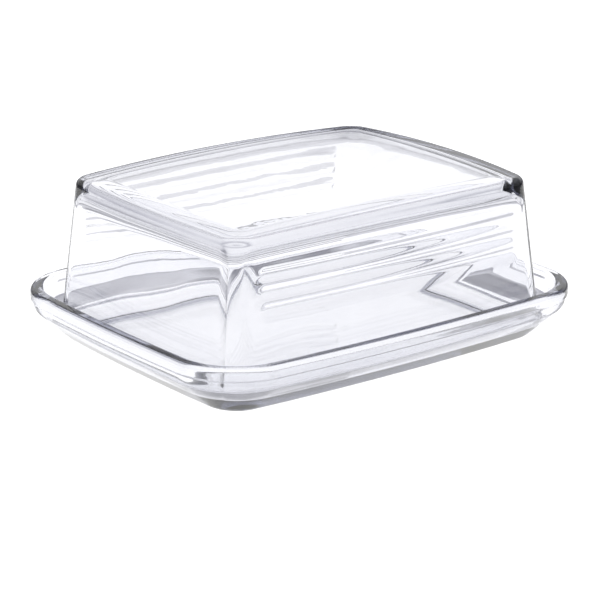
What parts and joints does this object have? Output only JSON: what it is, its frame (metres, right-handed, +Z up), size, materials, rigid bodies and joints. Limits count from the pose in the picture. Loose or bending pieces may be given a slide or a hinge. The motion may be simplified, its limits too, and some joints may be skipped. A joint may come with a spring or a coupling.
{
  "type": "butter dish",
  "caption": "Clear pressed-glass butter dish: a shallow rounded tray with a thick rim and a tall drafted lid with a crowned top and grip grooves, which lifts straight off.",
  "frame": {"origin": "centre of the tray's foot, on the surface that the dish stands on", "axes": "+X along the dish's length, +Y across its width towards one of the grooved walls, +Z up"},
  "size_m": [0.17, 0.138, 0.0635],
  "materials": {
    "clear_glass": "polished, fire-finished clear soda-lime glass"
  },
  "bodies": {
    "tray": {"tray": "clear_glass"},
    "lid": {"lid": "clear_glass"}
  },
  "joints": [
    {"name": "lid_lift", "type": "slide", "parent": "tray", "child": "lid", "axis": [0, 0, 1], "range_m": [0, 0.06]}
  ]
}
